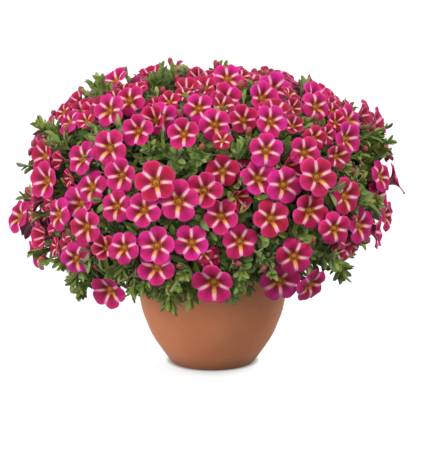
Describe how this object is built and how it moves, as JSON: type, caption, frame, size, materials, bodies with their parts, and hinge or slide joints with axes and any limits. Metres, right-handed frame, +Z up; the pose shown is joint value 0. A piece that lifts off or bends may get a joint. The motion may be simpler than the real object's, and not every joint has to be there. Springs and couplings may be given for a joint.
{
  "type": "potted calibrachoa plant",
  "caption": "Mounded calibrachoa in bloom, pink star-striped flowers over small green leaves, rooted in a smooth terracotta-coloured bowl pot that stands on its flat foot.",
  "frame": {"origin": "middle of the pot's flat foot, at the level it stands on", "axes": "+Z up the pot's axis, +X to the right and -Y towards the viewer of the picture"},
  "size_m": [0.3079, 0.3094, 0.2402],
  "materials": {
    "terracotta": "matte",
    "potting_mix": "matte",
    "foliage": "satin",
    "petals": "satin"
  },
  "bodies": {
    "root": {"pot": "terracotta", "potting_mix": "potting_mix", "leafy_stem_01": "foliage", "leafy_stem_02": "foliage", "leafy_stem_03": "foliage", "leafy_stem_04": "foliage", "leafy_stem_05": "foliage", "leafy_stem_06": "foliage", "leafy_stem_07": "foliage", "leafy_stem_08": "foliage", "leafy_stem_09": "foliage", "leafy_stem_10": "foliage", "leafy_stem_11": "foliage", "leafy_stem_12": "foliage", "leafy_stem_13": "foliage", "leafy_stem_14": "foliage", "leafy_stem_15": "foliage", "leafy_stem_16": "foliage", "leafy_stem_17": "foliage", "leafy_stem_18": "foliage", "flower_spray_01": "petals", "flower_spray_02": "petals", "flower_spray_03": "petals", "flower_spray_04": "petals", "flower_spray_05": "petals", "flower_spray_06": "petals", "flower_spray_07": "petals", "flower_spray_08": "petals", "flower_spray_09": "petals", "flower_spray_10": "petals", "flower_spray_11": "petals", "flower_spray_12": "petals", "flower_spray_13": "petals", "flower_spray_14": "petals", "flower_spray_15": "petals", "flower_spray_16": "petals", "flower_spray_17": "petals", "flower_spray_18": "petals", "flower_spray_19": "petals", "flower_spray_20": "petals", "flower_spray_21": "petals", "flower_spray_22": "petals", "flower_spray_23": "petals", "flower_spray_24": "petals", "flower_spray_25": "petals", "flower_spray_26": "petals", "flower_spray_27": "petals", "flower_spray_28": "petals", "flower_spray_29": "petals", "flower_spray_30": "petals", "flower_spray_31": "petals", "flower_spray_32": "petals", "flower_spray_33": "petals", "flower_spray_34": "petals", "flower_spray_35": "petals", "flower_spray_36": "petals", "flower_spray_37": "petals", "flower_spray_38": "petals", "flower_spray_39": "petals", "flower_spray_40": "petals"}
  },
  "joints": []
}
